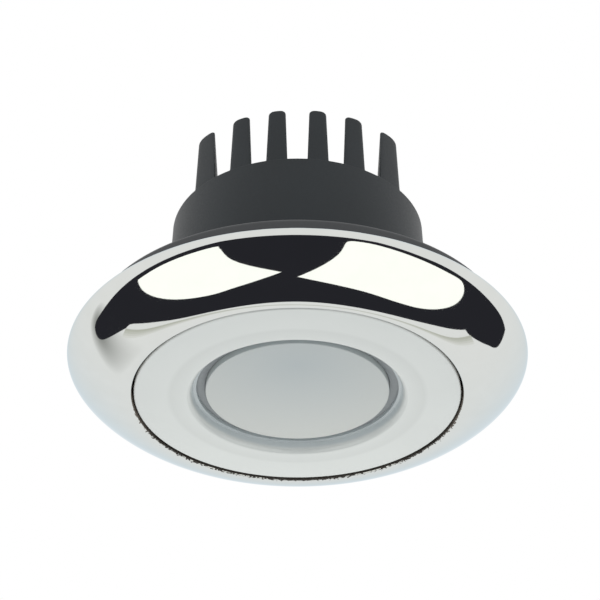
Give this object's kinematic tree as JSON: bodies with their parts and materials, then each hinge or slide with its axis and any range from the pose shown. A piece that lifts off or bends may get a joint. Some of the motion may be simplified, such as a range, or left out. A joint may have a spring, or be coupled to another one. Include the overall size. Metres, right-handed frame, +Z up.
{
  "type": "recessed courtesy light",
  "caption": "Round recessed LED courtesy light: finned black heat sink through the ceiling, gasketed flange, pull-off chrome dome bezel and a frosted lens in a white face ring.",
  "frame": {"origin": "on the light's axis at the ceiling surface that the gasket seats on", "axes": "+Z up into the ceiling, the lens faces -Z, the heat sink's fins run along Y"},
  "size_m": [0.07, 0.07, 0.0406],
  "materials": {
    "black_aluminium": "die-cast, satin black coat",
    "black_rubber": "moulded, matt",
    "grey_silicone": "moulded, matt",
    "white_polycarbonate": "moulded, polished",
    "frosted_glass": "acid-frosted face",
    "reflector_white": "moulded, high-gloss white",
    "white_board": "metal-core board with white solder mask",
    "led_phosphor": "silicone dome over phosphor",
    "white_nylon": "moulded",
    "steel": "stainless, turned",
    "green_board": "glass-epoxy board with green solder mask",
    "ferrite": "sintered, matt",
    "copper": "enamelled wire",
    "can_aluminium": "drawn can",
    "black_plastic": "moulded epoxy",
    "brass": "plated pins",
    "chrome": "polished chrome plate"
  },
  "bodies": {
    "light": {"heat_sink": "black_aluminium", "mounting_gasket": "black_rubber", "cable_grommet": "black_rubber", "face_ring": "white_polycarbonate", "housing_screws": "steel", "housing_seal": "black_rubber", "lens": "frosted_glass", "lens_seal": "grey_silicone", "reflector": "reflector_white", "thermal_pad": "grey_silicone", "led_board": "white_board", "led_emitters": "led_phosphor", "led_socket": "white_nylon", "board_screws": "steel", "driver_board": "green_board", "driver_screws": "steel", "inductor_core": "ferrite", "inductor_winding": "copper", "input_capacitor": "can_aluminium", "driver_chip": "black_plastic", "rectifier_diodes": "black_plastic", "chip_resistors": "black_plastic", "terminal_block": "white_nylon", "header_block": "black_plastic", "header_pins": "brass", "bezel_snap_ring": "steel"},
    "bezel": {"bezel": "chrome"}
  },
  "joints": [
    {"name": "bezel_pull", "type": "slide", "parent": "light", "child": "bezel", "axis": [0, 0, -1], "range_m": [0, 0.025]}
  ]
}
